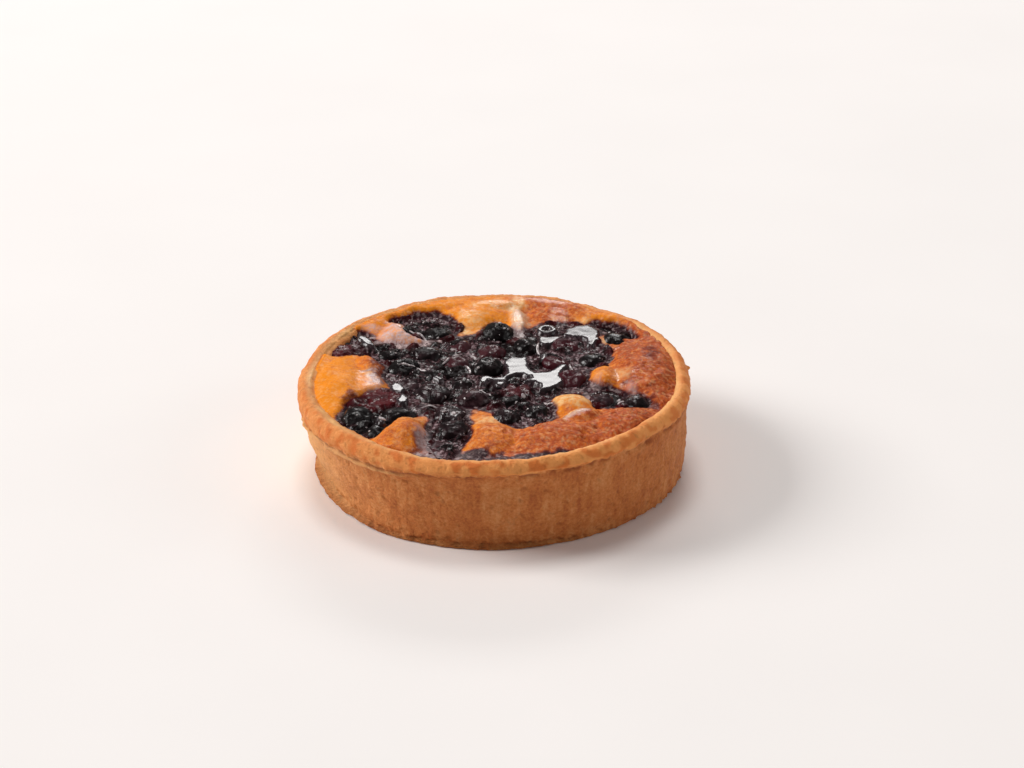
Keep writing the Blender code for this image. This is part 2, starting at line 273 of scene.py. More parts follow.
def finishMaterial(material, look, fields, links):
    # each tint covers the base colour as far as the field of its name is strong
    tree, colour = material.node_tree, fields["base"]
    for name, tint in look.get("tints", {}).items():
        colour = addNode(tree, "Mix", {0: fields[name], 6: colour, 7: hexColour(tint)}, data_type="RGBA")[2]
    surface = addNode(tree, "BsdfPrincipled", {"Base Color": colour, **look["finish"], **links})[0]
    addNode(tree, "OutputMaterial", {"Surface": surface})
    return material


crustLook = {
    # flour is drawn coarser than the real 0.1 mm, which is too fine for the picture
    "patterns": {"mottle": (5.5, 5.5, 4, 0.6), "streak": (1.6, 14, 2, 0.5), "grain": (0.7, 0.7, 3, 0.65),
                 "speck": (1.5, 1.5, 1, 0.5), "flour": (0.35, 0.35, 3, 0.7)},
    "toneStart": 0, "tone": {"mottle": 0.35, "streak": 0.25, "grain": 0.4},
    "stops": [(0.38, "#EEA466"), (0.5, "#DB8649"), (0.64, "#BA6436")],      # pale, golden, brown
    # the edge tint is a painted highlight, the lip tint and the palest tint painted light, the darkest tint
    # painted shade; red and specks are the crust's own colour
    "tints": {"paintedLightLeft": "#F6C484", "lip": "#F8A45C", "red": "#D86C2C", "edge": "#F8BC78", "paintedShade": "#84401F",
              "speck": "#8A4424"},
    "speckRange": {"From Min": 0.6, "From Max": 0.76, "To Max": 0.3},
    "flourBump": 0.1, "grainBump": 0.32, "butter": 0.3,
    "finish": {"Roughness": 0.6, "IOR": 1.45, "Specular IOR Level": 0.15, "Coat Roughness": 0.35},
}


def bakedShortcrust():
    # butter shortcrust baked in a metal ring: dry and matt, golden where thick, with darker specks; light and
    # shade are painted on its edge, lip and walls
    look = crustLook
    material, tree, fields = startMaterial("bakedShortcrust", look, ("paintedLightLeft", "lip", "red", "edge", "paintedShade"))
    fields["speck"] = addNode(tree, "MapRange", {"Value": fields["speck"], **look["speckRange"]})[0]
    fine = addNode(tree, "Bump", {"Height": fields["flour"], "Distance": look["flourBump"] * mm})[0]
    bump = addNode(tree, "Bump", {"Height": fields["grain"], "Distance": look["grainBump"] * mm,
                                  "Normal": fine})[0]
    butter = addNode(tree, "Math", {0: fields["edge"], 1: look["butter"]}, operation="MULTIPLY")[0]
    return finishMaterial(material, look, fields, {"Normal": bump, "Coat Weight": butter})


spongeLook = {
    "patterns": {"mottle": (3, 3, 4, 0.6), "crumb": (0.7, 0.7, 3, 0.65), "fleck": (1.1, 1.1, 2, 0.5)},
    "toneStart": -1.05, "tone": {"toast": 1, "mottle": 1, "crumb": 1.1},
    "stops": [(0, "#EE8C1C"), (0.34, "#D67630"), (0.66, "#B45226"), (1, "#8C3C1E")],    # yellow to brown
    # the cream and haze tints are partly painted glare where the wet glaze shines; seep and stain are juice
    "tints": {"creamAndGlare": "#F6CC90", "seep": "#8A3016", "stain": "#280C14", "hazeAndGlare": "#D8BEBC"},
    "fleckRange": {"From Min": 0.5, "From Max": 0.7}, "crumbFlecks": 0.25, "stainFlecks": 0.42,
    "creamRange": {"From Min": 0.4, "From Max": 0.56, "To Min": 0.15},
    "seeping": {"mottle": 0.7, "crumb": 0.3}, "seepRange": {"From Min": 0.6, "From Max": 1.15},
    "stainRange": {"From Min": 0.85, "From Max": 1.3},
    "hazeRange": {"From Min": 0.4, "From Max": 0.58, "To Min": 0.25},
    "glazeRange": {"To Min": 0.1, "To Max": 0.9}, "crumbBump": 0.22, "filmBump": 0.3,
    "finish": {"Roughness": 0.5, "IOR": 1.45, "Specular IOR Level": 0.06, "Coat Roughness": 0.2,
               "Coat IOR": 1.45},
}


def bakedAlmondSponge():
    # almond sponge under a brushed clear glaze: orange where pale, brown on the humps, purple by the jam;
    # glare is painted in pale patches and lilac film, shade in the pores
    look = spongeLook
    marks = ("toast", "stain", "hazeAndGlare", "creamAndGlare", "wet")
    material, tree, fields = startMaterial("bakedAlmondSponge", look, marks)
    mottle, crumb, fleck, stain = (fields[name] for name in ("mottle", "crumb", "fleck", "stain"))
    flecks = addNode(tree, "MapRange", {"Value": fleck, **look["fleckRange"]})[0]
    # pale crumbs all over, and pale patches, some of them painted glare on the wet glaze
    few = addNode(tree, "Math", {0: flecks, 1: look["crumbFlecks"]}, operation="MULTIPLY")[0]
    patchy = addNode(tree, "Mix", {0: 0.5, 2: crumb, 3: fleck})[0]
    patchy = addNode(tree, "MapRange", {"Value": patchy, **look["creamRange"]})[0]
    patchy = addNode(tree, "Math", {0: fields["creamAndGlare"], 1: patchy}, operation="MULTIPLY")[0]
    fields["creamAndGlare"] = addNode(tree, "Math", {0: few, 1: patchy}, operation="MAXIMUM")[0]
    # juice: red brown where it soaked in a little, almost black where it soaked in well
    seeped = stain
    for name, weight in look["seeping"].items():
        seeped = addNode(tree, "Math", {0: fields[name], 1: weight, 2: seeped}, operation="MULTIPLY_ADD")[0]
    for name in ("seep", "stain"):
        fields[name] = addNode(tree, "MapRange", {"Value": seeped, **look[name + "Range"]})[0]
    # lilac film, in places painted glare, and lilac flecks of sugar on the stains
    milky = addNode(tree, "Mix", {0: 0.5, 2: crumb, 3: mottle})[0]
    milky = addNode(tree, "MapRange", {"Value": milky, **look["hazeRange"]})[0]
    milky = addNode(tree, "Math", {0: fields["hazeAndGlare"], 1: milky}, operation="MULTIPLY")[0]
    sugar = addNode(tree, "Math", {0: stain, 1: look["stainFlecks"]}, operation="MULTIPLY")[0]
    fields["hazeAndGlare"] = addNode(tree, "Math", {0: sugar, 1: flecks, 2: milky}, operation="MULTIPLY_ADD")[0]
    bump = addNode(tree, "Bump", {"Height": crumb, "Distance": look["crumbBump"] * mm})[0]
    film = addNode(tree, "Bump", {"Height": mottle, "Distance": look["filmBump"] * mm})[0]
    wet = addNode(tree, "MapRange", {"Value": fields["wet"], **look["glazeRange"]})[0]
    return finishMaterial(material, look, fields, {"Normal": bump, "Coat Weight": wet, "Coat Normal": film})


skinLook = {
    "patterns": {"blotch": (2.2, 2.2, 3, 0.6), "wrinkle": (1, 1, 3, 0.6)},
    "toneStart": 0, "tone": {"blotch": 0.6, "ripe": 0.4},
    "stops": [(0.36, "#0A0304"), (0.47, "#1E0A0F"), (0.57, "#3C262A"), (0.7, "#400E18")],  # black to wine red
    "glazeRange": {"From Min": 0.48, "From Max": 0.6, "To Min": 0.2}, "wrinkleBump": 0.15,
    "finish": {"Roughness": 0.5, "IOR": 1.42, "Specular IOR Level": 0.05, "Coat Roughness": 0.16,
               "Coat IOR": 1.4},
}


def glazedBlueberrySkin():
    # baked blueberry skin, almost black and puckered, brushed with clear glaze that catches the light
    look = skinLook
    material, tree, fields = startMaterial("glazedBlueberrySkin", look, ("ripe",))
    bump = addNode(tree, "Bump", {"Height": fields["wrinkle"], "Distance": look["wrinkleBump"] * mm})[0]
    wet = addNode(tree, "MapRange", {"Value": fields["blotch"], **look["glazeRange"]})[0]
    return finishMaterial(material, look, fields, {"Normal": bump, "Coat Weight": wet, "Coat Normal": bump})


jamLook = {
    "patterns": {"blotch": (3.4, 3.4, 2, 0.5), "crumb": (0.75, 0.75, 2, 0.6), "smear": (1.8, 1.8, 2, 0.5)},
    # the dark mark is dark jam and painted shade in the deep holes between berries
    "toneStart": 0, "tone": {"blotch": 0.4, "crumb": 0.6, "dome": -0.14, "darkAndShade": -0.22},
    "stops": [(0.41, "#0E0405"), (0.52, "#442A2E"), (0.64, "#A08A8E")],     # almost black, mauve, pale pulp
    "tints": {"thin": "#540A14", "still": "#30262A"},
    "thinRange": {"From Min": 0.35, "From Max": 0.65, "To Min": 0.4},
    "glazeRange": {"From Min": 0.52, "From Max": 0.62, "To Min": 0.08}, "crumbBump": 0.25,
    "finish": {"Roughness": 0.5, "IOR": 1.42, "Specular IOR Level": 0.03, "Coat Roughness": 0.12,
               "Coat IOR": 1.45},
}


def setBlueberryJam():
    # blueberry jam set with sugar: almost black, mauve where the fruit's pulp shows, wine red where thin;
    # painted shade darkens its deep holes
    look = jamLook
    material, tree, fields = startMaterial("setBlueberryJam", look, ("thin", "still", "dome", "darkAndShade"))
    uneven = addNode(tree, "MapRange", {"Value": fields["blotch"], **look["thinRange"]})[0]
    fields["thin"] = addNode(tree, "Math", {0: fields["thin"], 1: uneven}, operation="MULTIPLY")[0]
    # smooth and wet where the glaze lies level
    rough = addNode(tree, "Math", {0: 1, 1: fields["still"]}, operation="SUBTRACT")[0]
    bump = addNode(tree, "Bump", {"Height": fields["crumb"], "Distance": look["crumbBump"] * mm,
                                  "Strength": rough})[0]
    wet = addNode(tree, "MapRange", {"Value": fields["smear"], **look["glazeRange"]})[0]
    wet = addNode(tree, "Math", {0: wet, 1: fields["still"]}, operation="MAXIMUM")[0]
    return finishMaterial(material, look, fields, {"Normal": bump, "Coat Weight": wet, "Coat Normal": bump})


glazeLook = {
    "patterns": {"cloud": (1.2, 1.2, 2, 0.5)}, "toneStart": 0, "tone": {"cloud": 1},
    # the milky tone partly paints highlights on the fruit
    "stops": [(0.4, "#6A5A5E"), (0.6, "#C4B8B8")],      # clear, milky
    "finish": {"Roughness": 0.3, "IOR": 1.48, "Coat Weight": 1, "Coat Roughness": 0.1, "Coat IOR": 1.48},
}


def glazeWithPaintedHighlights():
    # sugar glaze brushed on and dried in threads and drops: milky, with a hard wet shine; its milky colour
    # partly paints highlights on the fruit
    material, tree, fields = startMaterial("glazeWithPaintedHighlights", glazeLook)
    return finishMaterial(material, glazeLook, fields, {})


floorLook = {
    "patterns": {"cloud": (62.5, 62.5, 2, 0.5)}, "toneStart": 0, "tone": {"cloud": 1},
    "stops": [(0.3, "#F4F0EE"), (0.7, "#F6F2F0")], "finish": {"Roughness": 0.8, "IOR": 1.45},
}


def paleLaminate():
    # matt white laminate, faintly warm
    material, tree, fields = startMaterial("paleLaminate", floorLook)
    return finishMaterial(material, floorLook, fields, {})


# the lumps and spots of the crust; a band is the height of its middle and how far it reaches
crustRelief = {
    "waves": (6, 0.28, 0, 1), "lumps": (2.2, 0.22, 4, 1), "grain": (0.95, 0.15, 9, 2),
    "pits": (1.6, 0.4, 0.25, 21, 1), "pitDepth": 0.22, "startRadius": 20, "startFade": 10,
    "lipTears": (1.9, 0.5, 31, 2), "lipTearsBand": (cup["lipFootHeight"] + 0.3, 0.8),
    "footCrumbs": (1.5, 0.8, 35, 2), "footBand": (0.6, 1.1),
    "crumbAngle": math.radians(6), "crumbHeight": 21.8, "crumbSize": 1.5, "crumbOut": 1,
    "lipIn": 0.5, "lipFade": 1.5, "wallOut": 1.1,               # the wall stands out most on the right
    "taper": (0.9, 0.9, math.radians(215)),                     # and leans in most at the front left
    "lipUp": 1, "lipUpFrom": math.radians(156), "lipUpSpan": math.radians(16),      # counted from the back
    "lipUpBand": (cup["lipFootHeight"], 1.7),
    # torn edge below the lip on the left
    "ledgeBand": (18.8, 0.9), "ledgeOut": 0.7, "ledgeTears": (2.4, 0.8, 45, 1),
    "ledgeFrom": math.radians(185), "ledgeTo": math.radians(250), "ledgeFade": math.radians(14),
    # where the foot stands out or in, and where the lip's lower edge hangs: degrees, half width, how far
    "footShifts": ((196, 30, -2.8), (240, 14, 0.3), (274, 20, -0.8)), "footShiftTop": 13,
    "wallShifts": ((193, 28, 0.9),), "lipShifts": ((196, 18, -0.9),),
}

# how strong each shade of the crust is, and the degrees it faces; edge, lip and the far left are painted
# light, the crease, pits and front painted shade
crustShades = {
    # painted highlight along the lip's inner edge and on the top of the ledge
    "edge": 0.8, "edgeMottle": (5, 0.7, 41, 1), "edgeBand": (cup["innerEdgeRadius"] + 1, 1.1),
    "edgeDepth": 1.5, "ledge": 0.8, "ledgeFade": 0.5,
    # painted shade in the crease under the lip
    "paintedShade": 0.6, "creaseBand": (cup["wallTopHeight"] + 0.5, 0.5), "creaseSpots": (2.6, -0.25, 0.4, 47, 1),
    "pits": 0.3, "front": 0.22, "frontShadeFacing": 285,             # painted shade, darker in the pits and on the front wall
    # painted light on the lip, strongest where it faces front right
    "lip": 0.35, "lipLightSwing": 0.5, "lipLightFacing": 308, "lipFade": 1.2, "lipInset": 0.3,
    "red": 0.75, "redSpots": (3, -0.1, 0.4, 61, 2), "redLevel": 0.7, "redSwing": 0.3,
    # painted light on the far left wall
    "paintedLightLeft": 0.6, "paintedLightLeftFacing": 186, "paintedLightLeftPower": 6,                # palest on the far left
}


def facing(turn, degrees, power=1):
    # 1 where the crust looks that way, 0 on the far half
    return np.maximum(np.cos(turn - math.radians(degrees)), 0) ** power


def shiftsAt(turn, shifts):
    total = np.zeros_like(turn)
    for degrees, width, amount in shifts:
        away = np.degrees(np.mod(turn - math.radians(degrees) + math.pi, math.tau) - math.pi)
        total += amount * band(away, 0, width)
    return total


def crustRise(flat, radius, height, turn, outside, pits, ledge):
    # how far lumps, tears and crumbs stand out of the smooth cup
    relief = crustRelief
    out = sum(lumps(flat, relief[name]) for name in ("waves", "lumps", "grain")) - relief["pitDepth"] * pits
    out += outside * band(height, *relief["lipTearsBand"]) * lumps(flat, relief["lipTears"])
    out += outside * band(height, *relief["footBand"]) * lumps(flat, relief["footCrumbs"])
    away = np.hypot((turn - relief["crumbAngle"]) * cup["rimRadius"], height - relief["crumbHeight"])
    out += relief["crumbOut"] * smooth(1 - away / relief["crumbSize"]) * (radius > cup["wallTopRadius"])
    out += relief["ledgeOut"] * ledge * (1 + lumps(flat, relief["ledgeTears"]))
    return out * smooth((radius - relief["startRadius"]) / relief["startFade"])


def crustLean(height, turn):
    # how far the outside leans in
    relief = crustRelief
    lean, swing, direction = relief["taper"]
    taper = np.clip(1 - height / cup["wallTopHeight"], 0, 1) * (lean + swing * np.cos(turn - direction))
    below = smooth((cup["lipFootHeight"] - height) / relief["lipFade"])
    taper += relief["lipIn"] * (1 - below) - relief["wallOut"] * below * facing(turn, 0)
    taper -= shiftsAt(turn, relief["footShifts"]) * smooth(1 - height / relief["footShiftTop"])
    return taper - shiftsAt(turn, relief["wallShifts"]) * below


def crustMarks(flat, radius, height, turn, outside, wall, pits, ledge):
    shades = crustShades
    # painted highlight along the inner edge and on the ledge's top; the same mark gives the butter its shine
    edge = band(radius, *shades["edgeBand"]) * (height > cup["innerEdgeHeight"] - shades["edgeDepth"])
    edge *= shades["edge"] + lumps(flat, shades["edgeMottle"])
    onLedge = smooth((height - crustRelief["ledgeBand"][0]) / shades["ledgeFade"] + 0.5)
    edge += shades["ledge"] * ledge * onLedge
    # painted shade in the crease under the lip, in the pits and on the front wall
    paintedShade = shades["paintedShade"] * outside * band(height, *shades["creaseBand"])
    paintedShade *= spots(flat, shades["creaseSpots"])
    paintedShade += shades["pits"] * pits + shades["front"] * wall * facing(turn, shades["frontShadeFacing"])
    # painted light on the lip, strongest where it faces front right
    onLip = smooth((height - cup["lipFootHeight"]) / shades["lipFade"])
    onLip *= radius > cup["innerEdgeRadius"] - shades["lipInset"]
    lip = onLip * (shades["lip"] + shades["lipLightSwing"] * facing(turn, shades["lipLightFacing"]))
    red = shades["red"] * onLip * (shades["redLevel"] - shades["redSwing"] * np.sin(turn))
    red *= spots(flat, shades["redSpots"])
    # painted light on the far left wall, which faces the lamp
    paintedLightLeft = shades["paintedLightLeft"] * wall * facing(turn, shades["paintedLightLeftFacing"], shades["paintedLightLeftPower"])
    return {"edge": edge, "paintedShade": paintedShade, "red": red, "lip": lip, "paintedLightLeft": paintedLightLeft}


def makeShell():
    relief = crustRelief
    hidden = cup["baseRadius"] - cup["hiddenInset"]
    line = roundedLine(cupProfile(), lambda a, b: cup["hiddenStep"] if min(a[0], b[0]) < hidden
                       else cup["profileStep"])
    rows, columns = len(line), cup["sides"]
    angles = [math.tau * side / columns for side in range(columns)]
    grid = np.array([[baked(radius, angle, height) for angle in angles] for radius, height in line])
    flat = grid.reshape(-1, 3)
    radius, height = (np.repeat(values, columns) for values in np.array(line).T)
    turn = np.tile(angles, rows)
    outside = radius > cup["wallTopRadius"] - 2
    wall = outside & (height < cup["lipFootHeight"]) & (height > 0.2)
    pits = spots(flat, relief["pits"]) * wall
    ledge = smooth((turn - relief["ledgeFrom"]) / relief["ledgeFade"])
    ledge *= smooth((relief["ledgeTo"] - turn) / relief["ledgeFade"])
    ledge *= outside * band(height, *relief["ledgeBand"])
    normals = gridNormals(grid).reshape(-1, 3)
    normals *= -1 if normals[np.argmax(radius)] @ flat[np.argmax(radius)] < 0 else 1
    points = flat + normals * crustRise(flat, radius, height, turn, outside, pits, ledge)[:, None]
    points[:, :2] *= (1 - crustLean(height, turn) * outside / np.maximum(radius, 1))[:, None]
    fromBack = np.mod(turn - math.pi / 2, math.tau)
    raised = smooth((fromBack - relief["lipUpFrom"]) / relief["lipUpSpan"] + 0.5)
    raised *= smooth(math.tau - fromBack)
    lift = relief["lipUp"] * raised + shiftsAt(turn, relief["lipShifts"])
    points[:, 2] += lift * outside * band(height, *relief["lipUpBand"])
    points[:, 2] = np.maximum(points[:, 2], 0)
    points[height <= 0, 2] = 0
    marks = crustMarks(flat, radius, height, turn, outside, wall, pits, ledge)
    shell = newMesh("shortcrustCup", points, gridFaces(rows, columns), bakedShortcrust(), marks)
    shell.data.flip_normals()
    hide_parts("pastry_shell")
    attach(shell, "root")
    print("cup made:", len(points), "points")


sponge = {
    "edgeHeight": 22.9, "rings": 104, "sides": 600, "wallOverlap": 0.6, "skirtOverlap": 0.1,
    "shoulder": 3, "lap": 1, "basin": 3.2, "basinStart": 0.4, "basinReach": 3, "shoreDrop": 0.6,
    "shoreBlend": 1.2, "shoreWobble": (4, 1.2, 3, 1), "shoreCrumble": (1.3, 0.4, 8, 2),
    "backRise": 1.9, "backAngle": math.radians(95), "backSpread": 0.35, "backRadius": 37, "backFade": 7,
    "rough": (5, 0.5, 0, 1), "crumbs": (2.2, 0.6, 15, 2), "fineCrumbs": (0.95, 0.4, 17, 1),
    "paleCrumb": 0.1, "brownCrumb": 0.6, "wetCrumb": 0.6,       # how crumbly it is where pale, brown and wet
    "pores": (1.15, 0.36, 0.16, 23, 1), "poreDepth": 0.3, "poreBrown": 0.2, "poreFade": 0.3,
    "levelStart": 1.7, "levelShare": 0.85, "humpBlend": 1.6,
    # the pores are drawn browner: painted shade in them
    "poreShade": 0.25, "shorePale": 0.1, "seep": 0.9, "seepWidth": 1.9,
}

# how a patch fades out over its ellipse, and how ragged its edge is
patchEdge = {"start": 1.6, "steep": 1.2, "ragged": (3, 0.8, 27, 2)}

# middle x, middle y, half width, half depth, turn in degrees, rise, how brown
humps = {
    "left": (-38, -3, 9, 20, 2, 2.7, 0),
    "leftInner": (-31, 8, 5, 8, 10, 2.4, 0.5),
    "upperLeft": (-23.5, 25, 7, 9.5, 24, 2.9, 0.2),
    "back": (-5, 37, 14, 8.5, 0, 2.2, 0.1),
    "backRight": (16, 37, 10, 8, -20, 1.7, 0.62),
    "backFarRight": (26, 32, 6, 7, -40, 1.4, 0.2),
    "right": (38, 1, 10.5, 22, -2, 3.6, 0.7),
    "rightInner": (28, -3, 5.5, 8.5, 0, 2.8, 0.12),
    "frontIsland": (18.8, -16, 7.2, 6.8, 0, 2.3, 0.1),
    "frontMiddle": (-1, -32, 9, 9.5, 20, 2.5, 0.36),
    "frontRight": (16, -32, 15, 10, 12, 2.8, 0.62),
    "rightFront": (31, -26, 12, 9, 35, 2.6, 0.68),
    "crescentTop": (22, -24.5, 8, 5, 20, 3, 0.5),
    "frontLeft": (-21.5, -31.5, 7.5, 11.5, -16, 4, 0.36),
}

jam = {"level": 21.8, "raise": 1.7, "step": 0.36, "half": 45, "radius": 44.3, "depth": 3, "least": 0.2}

# middle x, middle y, half width, half depth, turn in degrees
pools = {
    "middle": (-2.5, 4.5, 25.5, 21.5, 0),
    "backLeft": (-15.5, 30, 7.6, 8.5, 0),
    "backLeftRim": (-20.5, 35, 7, 3.4, 24),
    "rimLeftInner": (-31.5, 19, 4.2, 5, 20),
    "backMiddle": (1, 25.5, 5, 7, 0),
    "backRight": (17.5, 23.5, 10.5, 9, -10),
    "rimRight": (32, 26, 8, 3, -42),
    "rightSingle": (24, 12, 7, 9, 0),
    "rightMiddle": (15, -1, 9.5, 9, 0),
    "leftLink": (-26.5, 15, 6.5, 6, 0),
    "rimLeft": (-37.8, 20.5, 8.6, 4.6, 55),
    "leftLobe": (-30, -20, 7.8, 13.5, -14),
    "leftLobeLink": (-23, -13, 6, 6.5, 0),
    "frontNotch": (-17.5, -17, 4.5, 3.5, 0),
    "frontLobe": (-10.5, -29, 6, 16, -4),
    "frontMiddle": (7.5, -17.5, 7.8, 12, 15),
    "islandGap": (23.5, -6.5, 2.6, 4.4, 30),
    "rightPairLeft": (28.3, -12.5, 5.4, 6, 0),
    "rightPairRight": (34.8, -15.5, 4.2, 4, -20),
}

# glaze run together between the berries, lying level: its outline
glazePools = {
    "centre": ((3.2, 7.5), (4.6, 9.1), (4.8, 11.2), (5.4, 9.4), (7.4, 8.9), (8.4, 10), (8.6, 6.5), (9, 3),
               (10.8, 0), (9, -0.9), (7.6, 0.6), (5.6, 0.2), (2.8, -2.2), (4, 1.2), (4, 4.1), (3.3, 5.8)),
    "centreRight": ((9.8, 0), (11.8, 0.6), (13.6, 0.4), (15.2, 1.8), (17.6, 5.2), (18.8, 5), (17, 1.6),
                    (16.5, -1), (17.3, -4), (16, -6.3), (13.6, -8), (12, -8.6), (12.4, -6.3),
                    (10.6, -3.9), (8.2, -3.6), (10, -2.2)),
    "backRight": ((18.8, 23.4), (19.8, 26.5), (21.6, 27.9), (25, 28.5), (27.3, 25.9), (27.1, 22),
                  (25.7, 16.8), (24.7, 17.4), (24.7, 20.7), (23.4, 22), (21, 22.3)),
    "backMoon": ((12.2, 22), (14.6, 21.2), (17.2, 21.8), (16.6, 19.4), (15, 17.8), (13.4, 17.4),
                 (12.3, 18.8)),
    "stem": ((13.3, 12.2), (13.9, 11.3), (13.6, 8.9), (12.7, 8.1), (12.8, 10.9)),
    "rimLeft": ((-34.6, 23), (-32.6, 22), (-30.9, 19.5), (-30.5, 17), (-31.7, 17.2), (-32.9, 19),
                (-34.4, 21)),
    "leftUpper": ((-25, -7), (-24.2, -4.8), (-22.6, -5.8), (-21.8, -8.1), (-22.4, -9.8), (-24.4, -9.2)),
    "leftLower": ((-22, -11), (-21.1, -12.9), (-21.3, -15.1), (-22.6, -16), (-23.1, -13.9)),
    "leftMiddle": ((-14.6, -1.6), (-13.8, -1), (-12.2, -3.1), (-13.2, -3.6)),
    "middleLeft": ((-2.7, -1.6), (-1.2, -1.4), (0.6, -2.5), (3, -2.2), (3.2, -3.7), (0.4, -3.5), (-1.4, -2.9),
                   (-1.9, -5), (-2.9, -4.4)),
    "middleLow": ((1, -4.5), (3.2, -4.6), (2.4, -6), (1.2, -5.8)),
    "frontTop": ((-10.4, -20.4), (-9.6, -21.8), (-8.2, -22.4), (-8.8, -24.1), (-10.2, -23.1)),
    "frontTopLeft": ((-12.7, -21.8), (-11.8, -21.4), (-12.2, -22.8)),
    "leftLobe": ((-27.7, -23.4), (-26.6, -24.2), (-25.7, -25.9), (-27.1, -26.1)),
    "rightPair": ((33, -14.4), (34.5, -15.6), (34.9, -18.5), (33.4, -18.7), (33.6, -16.5)),
}
glaze = {"height": 24.3, "spread": 0.8, "soft": 0.7, "ripple": (1.8, 0.012, 67, 1),
         "ragged": (1.6, 0.3, 57, 2),
         "ring": (14.2, 26.6), "ringRadius": 1.8, "ringWidth": 0.9, "ringStart": 1.6}

# where it ran into a thin thread over the fruit, laid where highlight lines run, as painted highlight: its
# two ends
glazeThreads = {
    "top": ((-8, 14.4), (-10.2, 11.8)),
    "topLow": ((-10.8, 11), (-12.6, 8.8)),
    "topRight": ((-5.9, 14.2), (-4, 10.4)),
    "middle": ((-7, 8.2), (-5.6, 3.2)),
    "middleDot": ((-3.9, 3.6), (-3.5, 2.8)),
    "low": ((-3.2, -7.6), (-0.4, -11.2)),
    "back": ((12, 18.6), (12.1, 13)),
    "right": ((19.4, 6.2), (20.4, 3.4)),
    "left": ((-23.6, 6), (-19.5, 5.4)),
    "leftCurve": ((-19.2, 5.6), (-16.6, 3.6)),
    "upperLeft": ((-21.6, 27.6), (-16.8, 22.6)),
    "frontRight": ((12.6, -13.6), (15, -15.6)),
    "frontLeft": ((-18.6, -15.4), (-13.2, -15.8)),
}
# the largest drops, pale, laid where highlights shine, as painted highlight: x, y and size
glazeBeads = {
    "rightPair": (31.4, -16.4, 1.2), "rightPairLow": (31, -13.2, 0.7), "leftLobe": (-26.6, -24.8, 1),
    "frontTop": (-9.4, -22, 1), "frontTopLeft": (-11.6, -21.2, 0.8), "backTop": (2, 27.6, 0.9),
    "frontRight": (7.6, -12, 0.8), "frontRightLow": (8.6, -14.2, 0.7), "middle": (-9.6, 1, 0.7),
}
threads = {"width": 0.8, "rise": 0.32, "step": 0.25, "bend": 0.5, "span": 2, "tip": 0.08, "fullness": 0.6,
           "sides": 8, "seed": 5}
drops = {"tries": 900, "reach": 43, "clear": 1, "size": (0.14, 0.42), "slim": 0.6, "flat": 0.4,
         "fallFrom": 40, "subdivisions": 2, "beadSubdivisions": 3, "seed": 11}

# purple juice on the sponge, away from the pools: placed as they are, then its strength
juiceStains = {
    "frontRim": (-9, -41.8, 13, 2.8, 4, 0.95),
    "frontRimRight": (9, -42.2, 12, 1.7, 4, 0.9),
    "frontLeftEdge": (-16.5, -38, 2.8, 7.5, 10, 0.6),
    "rightBack": (40, 8, 2.5, 7, -10, 0.45),
    "aboveRightPair": (29, -7.4, 4.4, 1.8, 0, 0.5),
    "rightOfPair": (38.8, -17, 1.8, 3.4, 0, 0.6),
    "frontIslandLeft": (13.4, -21, 2.6, 6, 20, 0.6),
    "backTongue": (6.6, 21, 2.6, 3.6, 0, 0.35),
    "leftOfMiddle": (-28.8, 3, 3.4, 10, 4, 0.5),
    "leftCorner": (-34.5, -11.5, 3.4, 3, 40, 0.5),
}
# milky purple film, and painted glare where the glaze shines (leftWhite, backTongue, crescentEdge): the same
juiceFilmsAndGlare = {
    "upperLeft": (-22.5, 23.5, 7.5, 8.5, 24, 1),
    "leftWhite": (-30, -3, 3, 6, 10, 0.5),
    "backTongue": (6.8, 30, 2.2, 10, 0, 0.6),
    "frontRim": (-12, -41.5, 8, 2.4, 8, 0.18),
    "frontRimRight": (6, -42, 8, 1.6, 4, 0.1),
    "crescentEdge": (19.8, -24.9, 3.6, 1, 18, 0.6),
    "frontLeftEdge": (-15.8, -36, 2.4, 7.5, 10, 0.5),
    "islandEdge": (24, -12, 1.6, 3, -20, 0.4),
    "rightInner": (25.5, -5.5, 1.8, 3, 0, 0.2),
    "rightPair": (34.5, -9.5, 1.6, 2.2, 0, 0.4),
}
# pale sponge that kept its colour under the glaze, and painted glare where the wet glaze shines (backGlare,
# backTongue, leftInner, crescentEdge, rightHump): the same
creamAndGlarePatches = {
    "backYellow": (-6, 33, 4, 6, 10, 0.55),
    "backGlare": (0.5, 40.5, 7, 2.4, 0, 0.5),
    "backTongue": (6.8, 33, 2.4, 13, 0, 1),
    "backTongueLeft": (-6.4, 26, 2, 3.4, 10, 1),
    "backFarRight": (24, 30, 4, 3.4, -20, 0.6),
    "island": (19, -14.5, 5.5, 4, 0, 0.9),
    "frontMiddle": (-1.5, -24.5, 2.6, 3.4, 0, 0.7),
    "frontLeft": (-19.5, -24, 3, 3, 0, 0.5),
    "crescentEdge": (19.5, -24, 4, 1.4, 24, 0.8),
    "leftInner": (-30.5, 1, 2, 5, 0, 0.6),
    "rightHump": (32.5, -3, 2.4, 2.8, 0, 0.45),
    "backGap": (28.5, 20, 1.4, 2, 0, 0.6),
}
